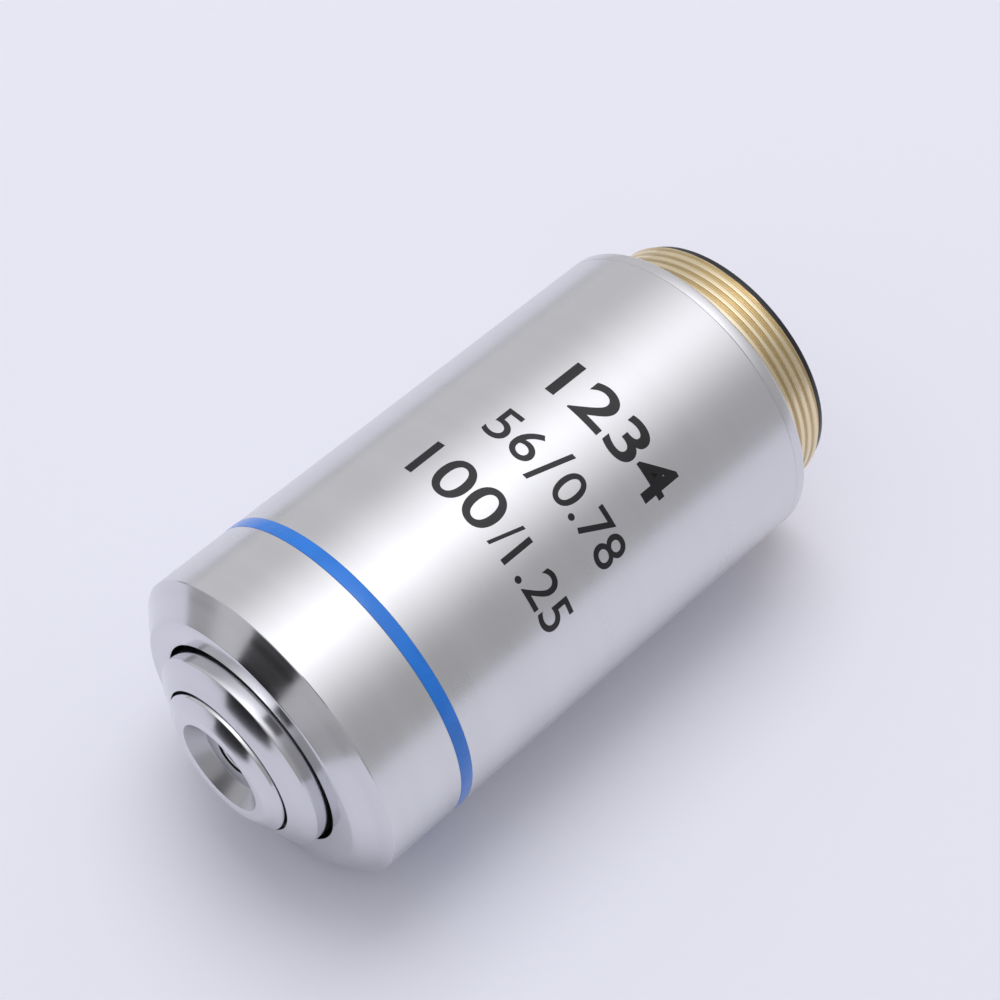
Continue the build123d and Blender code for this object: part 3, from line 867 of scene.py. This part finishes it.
class OBJECTIVE_OT_inside(bpy.types.Operator):
    """Turn the ring behind the lenses and finish every piece inside the barrel"""

    bl_idname = "objective.inside"
    bl_label = "Inside"

    def execute(self, context):
        sizes = context.scene.objective_sizes
        finishes = context.scene.objective_finishes
        edge = sizes.edge_round / MM
        matt = matt_black()
        brass = turned_metal(
            "turned_inner_brass", tuple(finishes.brass), 0.28, rings=6.0, relief=0.8, uneven=0.05,
        )
        steel = turned_metal(
            "drawn_spring_steel", (0.52, 0.52, 0.54), 0.25, rings=3.0, relief=0.5, uneven=0.05,
        )

        rear, front = heights("retaining_ring")
        bore, wide = radii("retaining_ring", front)
        ring = turned("retaining_ring_turned", [
            (bore, rear, edge), (wide, rear, edge), (wide, front, edge), (bore, front, edge),
        ])
        cut(ring, block((4 * wide, sizes.notch_width / MM, 2 * sizes.notch_depth / MM), (0, 0, rear)))
        coat(ring, matt)
        place(ring, "lens_unit", "blackened_brass", "retaining_ring")

        for names, finish in (
            (("lens_tube", "spring_seat_ring", "parfocal_ring", "parfocal_lock_ring"), brass),
            (("return_spring", "guide_screw"), steel),
            (("meniscus_cell", "front_doublet_cell", "front_spacer", "middle_doublet_cell", "aperture_stop",
              "rear_spacer", "rear_doublet_cell"), matt),
        ):
            for name in names:
                coat(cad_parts[name], finish)

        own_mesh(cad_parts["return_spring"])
        return {"FINISHED"}


def flat_digits(text, weight, box):
    """Flat, slightly thick digits that fill a box of (left, right, top, bottom) in millimetres."""
    left, right, top, bottom = box
    bpy.ops.object.select_all(action="DESELECT")
    bpy.ops.object.text_add()
    digits = bpy.context.object
    digits.data.body = text
    digits.data.size = 1.0
    digits.data.offset = weight
    digits.data.extrude = 0.1
    digits.data.resolution_u = 10
    bpy.ops.object.convert(target="MESH")
    digits = bpy.context.object
    across = [vert.co.x for vert in digits.data.vertices]
    upward = [vert.co.y for vert in digits.data.vertices]
    for vert in digits.data.vertices:
        part = (vert.co.x - min(across)) / (max(across) - min(across))
        rise = (vert.co.y - min(upward)) / (max(upward) - min(upward))
        vert.co = (
            (left + (right - left) * part) * MM,
            (bottom + (top - bottom) * rise) * MM,
            (vert.co.z / 0.2 + 0.5) * MM,
        )
    return digits


class OBJECTIVE_OT_barrel_numbers(bpy.types.Operator):
    """Print the plain numbers round the barrel"""

    bl_idname = "objective.barrel_numbers"
    bl_label = "Barrel numbers"

    def execute(self, context):
        numbers = context.scene.objective_numbers
        second = numbers.second_line.split("/")
        third = numbers.third_line.split("/")
        bold, plain = 0.015, 0.004
        runs = [
            flat_digits(numbers.first_line, bold, (-0.5, 10.5, 10.5, 13.8)),
            flat_digits(second[0], plain, (-1.2, 2.9, 16.5, 19.2)),
            flat_digits("/", plain, (3.3, 4.7, 16.0, 19.7)),
            flat_digits(second[1], plain, (5.1, 11.9, 16.5, 19.2)),
            flat_digits(third[0], plain * 2, (-2.5, 4.7, 21.7, 24.9)),
            flat_digits("/", plain, (5.2, 6.2, 22.1, 24.8)),
            flat_digits(third[1], plain, (6.7, 12.9, 22.2, 24.9)),
        ]
        only(*runs)
        bpy.ops.object.join()
        piece = fresh("barrel_numbers")
        bpy.ops.object.mode_set(mode="EDIT")
        bpy.ops.mesh.select_all(action="SELECT")
        bpy.ops.mesh.remove_doubles(threshold=MERGE)
        for strip in range(-12, 65):
            bpy.ops.mesh.select_all(action="SELECT")
            bpy.ops.mesh.bisect(plane_co=(strip * DIGIT_STRIP * MM, 0, 0), plane_no=(1, 0, 0))
        bpy.ops.object.mode_set(mode="OBJECT")
        barrel = outer("barrel_sleeve") * MM
        sunk = INK_SUNK * MM
        for vert in piece.data.vertices:
            angle = vert.co.x / barrel
            radius = barrel - sunk + vert.co.z / MM * (sunk + numbers.ink_thickness)
            vert.co = (-math.sin(angle) * radius, -math.cos(angle) * radius, vert.co.y)
        bpy.ops.object.mode_set(mode="EDIT")
        bpy.ops.mesh.select_all(action="SELECT")
        bpy.ops.mesh.normals_make_consistent(inside=False)
        bpy.ops.object.mode_set(mode="OBJECT")
        only(piece)
        bpy.ops.object.shade_smooth_by_angle(angle=SMOOTH_ANGLE)
        ink = tuple(context.scene.objective_finishes.ink)
        coat(piece, black_finish("number_ink", ink, 0.22, grain=4.0, relief=0.002))
        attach(piece, "barrel")
        return {"FINISHED"}


class OBJECTIVE_OT_studio(bpy.types.Operator):
    """Lay the pale sheet, set the camera and put up the soft light"""

    bl_idname = "objective.studio"
    bl_label = "Studio"

    def execute(self, context):
        studio = context.scene.objective_studio
        scene = context.scene
        scene.view_settings.view_transform = "Standard"

        bpy.ops.object.select_all(action="DESELECT")
        bpy.ops.object.camera_add()
        camera = context.object
        camera.name = "camera"
        camera.matrix_world = Matrix((
            (-0.70965, 0.56365, -0.42274, -69.86 * MM),
            (0.0, -0.60005, -0.79996, -136.76 * MM),
            (-0.70456, -0.56767, 0.42586, 88.86 * MM),
            (0.0, 0.0, 0.0, 1.0),
        ))
        camera.data.sensor_width = 36
        camera.data.lens = studio.focal_length
        camera.data.clip_start = MM
        camera.data.clip_end = 20
        scene.camera = camera

        # The objective lies on a sheet that is upright here, because in the frame it stands
        lie = outer("colour_ring") + SHEET_GAP
        bpy.ops.object.select_all(action="DESELECT")
        bpy.ops.mesh.primitive_plane_add(
            size=2 * studio.sheet_reach, location=(0, lie * MM, 0), rotation=(math.pi / 2, 0, 0),
        )
        sheet = fresh("pale_sheet")
        bpy.ops.object.transform_apply(location=True, rotation=True, scale=True)
        bpy.ops.object.mode_set(mode="EDIT")
        # Two near edges and a corner are cut off, so that the cones mirror what lies beyond them
        for cut_place, away in (
            ((150, 0, 0), (1, 0, 0)), ((0, 0, 110), (0, 0, 1)), ((150, 0, 0), (110, 0, 90)),
        ):
            bpy.ops.mesh.select_all(action="SELECT")
            bpy.ops.mesh.bisect(
                plane_co=[place * MM for place in cut_place], plane_no=away, clear_outer=True,
            )
        bpy.ops.object.mode_set(mode="OBJECT")
        coat(sheet, sheet_material(studio))

        middle = Vector((0, 0, 0.02))
        black = black_finish("black_card", (0.01, 0.01, 0.01), 0.9)
        ahead = Vector((10.5, -5, 85)) * MM
        reflected_card("black_card", (23, 34), ahead, Vector((0, 0, -1)), black)
        to_camera = Vector((-0.42, -0.8, 0.43)).normalized()
        reflected_card("camera_shade", (70, 70), middle + 0.185 * to_camera, -to_camera, black)

        over = Vector((0.2, -0.95, -0.2)).normalized()
        bpy.ops.object.select_all(action="DESELECT")
        bpy.ops.object.light_add(type="AREA")
        lamp = context.object
        lamp.name = "overhead_lamp"
        lamp.matrix_world = facing_matrix(middle + 0.5 * over, over)
        lamp.data.shape = "DISK"
        lamp.data.size = 0.35
        lamp.data.energy = studio.lamp_power
        lamp.visible_glossy = False

        set_world(scene, studio)
        return {"FINISHED"}


def facing_matrix(centre, way):
    """A place with its Z axis along a direction."""
    return Matrix.Translation(centre) @ way.to_track_quat("Z", "Y").to_matrix().to_4x4()


def reflected_card(name, size, centre, facing, material):
    """A dark card, in millimetres across, that shows only in what the metal reflects."""
    bpy.ops.object.select_all(action="DESELECT")
    bpy.ops.mesh.primitive_plane_add(size=MM)
    card = fresh(name)
    card.matrix_world = facing_matrix(centre, facing) @ Matrix.Diagonal((*size, 1, 1))
    bpy.ops.object.transform_apply(location=True, rotation=True, scale=True)
    card.visible_camera = False
    card.visible_shadow = False
    card.visible_diffuse = False
    card.visible_transmission = False
    coat(card, material)


def sheet_material(studio):
    """Pale paper with a trace of fibre, seen only from the side that the objective lies on."""
    made, tree, shader = new_material("pale_sheet", Roughness=0.9)
    shader.inputs["Specular IOR Level"].default_value = 0.1
    fibre = use_group(tree, handling_marks, Patches_per_mm=0.08, Sharpness=1.2)
    colour = tuple(studio.sheet_colour)
    shade = tuple(channel * 0.995 for channel in colour)
    tree.links.new(blend_colours(tree, fibre.outputs["Mask"], shade, colour), shader.inputs["Base Color"])
    rays = node(tree, "ShaderNodeLightPath").outputs
    seen = calc(tree, "MAXIMUM", rays["Is Camera Ray"], rays["Is Glossy Ray"])
    seen = calc(tree, "MAXIMUM", seen, rays["Is Transmission Ray"])
    glow = node(tree, "ShaderNodeEmission", {"Color": (*studio.sheet_glow, 1.0), "Strength": seen})
    lit = node(tree, "ShaderNodeAddShader", {0: shader.outputs[0], 1: glow.outputs[0]})
    under = node(tree, "ShaderNodeNewGeometry").outputs["Backfacing"]
    clear = node(tree, "ShaderNodeBsdfTransparent")
    both = node(tree, "ShaderNodeMixShader", {0: under, 1: lit.outputs[0], 2: clear.outputs[0]})
    tree.links.new(both.outputs[0], tree.nodes["Material Output"].inputs["Surface"])
    return made


def set_world(scene, studio):
    """A pale room with a broad soft light overhead, a little darker on the near side and below."""
    dim_side, bright_side, under = 0.42, 0.70, 0.41
    world = bpy.data.worlds.new("pale room")
    scene.world = world
    world.use_nodes = True
    tree = world.node_tree
    back = tree.nodes["Background"]
    way = node(tree, "ShaderNodeTexCoord").outputs["Generated"]
    parts = node(tree, "ShaderNodeSeparateXYZ", {0: way}).outputs
    room = spread(tree, parts["X"], dim_side, bright_side, -1.0, 1.0)
    aim = node(
        tree, "ShaderNodeVectorMath", {0: way, 1: (0, -0.9987, -0.0504)}, operation="DOT_PRODUCT",
    ).outputs["Value"]
    apart = calc(tree, "ARCCOSINE", aim)
    lobe = spread(tree, apart, 0.0, studio.overhead, math.radians(60), math.radians(5), "SMOOTHSTEP")
    core = spread(tree, apart, 0.0, studio.core, math.radians(16), math.radians(9), "SMOOTHSTEP")
    above = calc(tree, "ADD", room, calc(tree, "ADD", lobe, core))
    below = spread(tree, parts["Y"], 0.0, 1.0, 0.03, 0.07, "SMOOTHSTEP")
    above = calc(tree, "MULTIPLY", above, calc(tree, "SUBTRACT", 1.0, below))
    light = calc(tree, "ADD", above, calc(tree, "MULTIPLY", below, under))
    rays = node(tree, "ShaderNodeLightPath").outputs
    seen = calc(tree, "MAXIMUM", rays["Is Camera Ray"], rays["Is Transmission Ray"])
    matt = calc(tree, "SUBTRACT", 1.0, calc(tree, "MAXIMUM", seen, rays["Is Glossy Ray"]))
    light = calc(tree, "MULTIPLY", light, spread(tree, matt, 1.0, studio.fill))
    lit = node(tree, "ShaderNodeCombineXYZ", {0: light, 1: light, 2: calc(tree, "MULTIPLY", light, 1.03)})
    tree.links.new(blend_colours(tree, seen, lit.outputs[0], studio.backdrop), back.inputs["Color"])
    back.inputs["Strength"].default_value = 1.0


class OBJECTIVE_PT_sidebar(bpy.types.Panel):
    """Lists the pieces and their settings"""

    bl_idname = "OBJECTIVE_PT_sidebar"
    bl_label = "Microscope objective"
    bl_space_type = "VIEW_3D"
    bl_region_type = "UI"
    bl_category = "Objective"

    def draw(self, context):
        for step in STEPS:
            self.layout.operator(step.bl_idname)
        for name in GROUPS:
            box = self.layout.box()
            for setting in getattr(context.scene, name).bl_rna.properties:
                if setting.identifier not in ("rna_type", "name"):
                    box.prop(getattr(context.scene, name), setting.identifier)


STEPS = (
    OBJECTIVE_OT_studio,
    OBJECTIVE_OT_thread_body,
    OBJECTIVE_OT_end_ring,
    OBJECTIVE_OT_barrel,
    OBJECTIVE_OT_colour_ring,
    OBJECTIVE_OT_nose,
    OBJECTIVE_OT_lenses,
    OBJECTIVE_OT_inside,
    OBJECTIVE_OT_barrel_numbers,
)
GROUPS = {
    "objective_sizes": ObjectiveSizes,
    "objective_numbers": ObjectiveNumbers,
    "objective_finishes": ObjectiveFinishes,
    "objective_studio": ObjectiveStudio,
}


def register():
    for name, group in GROUPS.items():
        bpy.utils.register_class(group)
        setattr(bpy.types.Scene, name, bpy.props.PointerProperty(type=group))
    for step in STEPS:
        bpy.utils.register_class(step)
    bpy.utils.register_class(OBJECTIVE_PT_sidebar)


def unregister():
    bpy.utils.unregister_class(OBJECTIVE_PT_sidebar)
    for step in STEPS:
        bpy.utils.unregister_class(step)
    for name, group in GROUPS.items():
        delattr(bpy.types.Scene, name)
        bpy.utils.unregister_class(group)


def main():
    register()
    bpy.ops.objective.studio()
    bpy.ops.objective.thread_body()
    bpy.ops.objective.end_ring()
    bpy.ops.objective.barrel()
    bpy.ops.objective.colour_ring()
    bpy.ops.objective.nose()
    bpy.ops.objective.lenses()
    bpy.ops.objective.inside()
    bpy.ops.objective.barrel_numbers()


if __name__ == "__main__":
    main()
